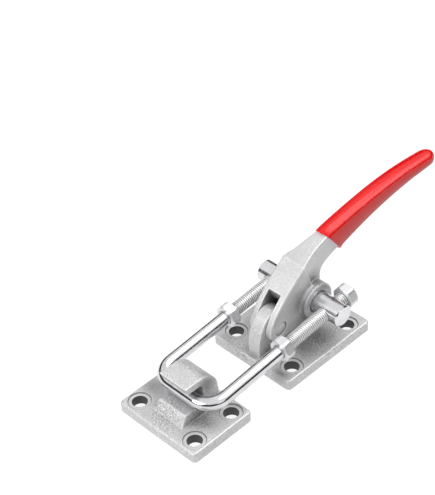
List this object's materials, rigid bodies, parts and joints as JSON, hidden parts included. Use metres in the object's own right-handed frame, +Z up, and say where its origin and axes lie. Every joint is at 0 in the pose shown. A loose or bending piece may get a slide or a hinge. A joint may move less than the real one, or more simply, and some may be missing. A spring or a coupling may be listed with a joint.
{
  "type": "over centre toggle latch",
  "caption": "Over centre toggle latch: a lever on a screw-down base draws a threaded U-bolt into a separate hooked catch plate.",
  "frame": {"origin": "centre of the base plate's four screw holes, on its underside", "axes": "+X from the catch towards the handle, +Z up off the mounting surface, +Y across the latch to the far side"},
  "size_m": [0.2275, 0.0604, 0.0671],
  "materials": {
    "cast_body": "satin silver plating over fine cast grain",
    "plated_steel": "bright zinc or nickel plate",
    "grip_vinyl": "glossy dipped vinyl"
  },
  "bodies": {
    "mounting": {"base_plate": "cast_body", "catch_plate": "cast_body"},
    "lever": {"handle": "cast_body", "handle_grip": "grip_vinyl", "pivot_pin": "cast_body"},
    "trunnion": {"trunnion_bar": "plated_steel"},
    "link": {"u_bolt": "plated_steel"},
    "front_nut_near": {"front_nut_near": "plated_steel"},
    "front_nut_far": {"front_nut_far": "plated_steel"},
    "rear_nut_near": {"rear_nut_near": "plated_steel"},
    "rear_nut_far": {"rear_nut_far": "plated_steel"}
  },
  "joints": [
    {"name": "handle_pivot", "type": "hinge", "parent": "mounting", "child": "lever", "pos_m": [-0.017, 0, 0.022], "axis": [0, -1, 0], "range_deg": [-8, 90]},
    {"name": "trunnion_swing", "type": "hinge", "parent": "lever", "child": "trunnion", "pos_m": [0.0102, 0, 0.0262], "axis": [0, -1, 0], "range_deg": [-72, 6.4]},
    {"name": "link_slide", "type": "slide", "parent": "trunnion", "child": "link", "axis": [-0.9965, 0, -0.084], "range_m": [0, 0.003]},
    {"name": "front_nut_near_turn", "type": "hinge", "parent": "link", "child": "front_nut_near", "pos_m": [-0.02856, -0.02065, 0.02293], "axis": [0.9965, 0, 0.084], "continuous": true},
    {"name": "front_nut_far_turn", "type": "hinge", "parent": "link", "child": "front_nut_far", "pos_m": [-0.02856, 0.02065, 0.02293], "axis": [0.9965, 0, 0.084], "continuous": true},
    {"name": "rear_nut_near_turn", "type": "hinge", "parent": "link", "child": "rear_nut_near", "pos_m": [0.02286, -0.02065, 0.02727], "axis": [0.9965, 0, 0.084], "continuous": true},
    {"name": "rear_nut_far_turn", "type": "hinge", "parent": "link", "child": "rear_nut_far", "pos_m": [0.02455, 0.02065, 0.02741], "axis": [0.9965, 0, 0.084], "continuous": true}
  ],
  "couplings": [
    {"joint": "trunnion_swing", "follows": "handle_pivot", "ratio": -0.8}
  ]
}
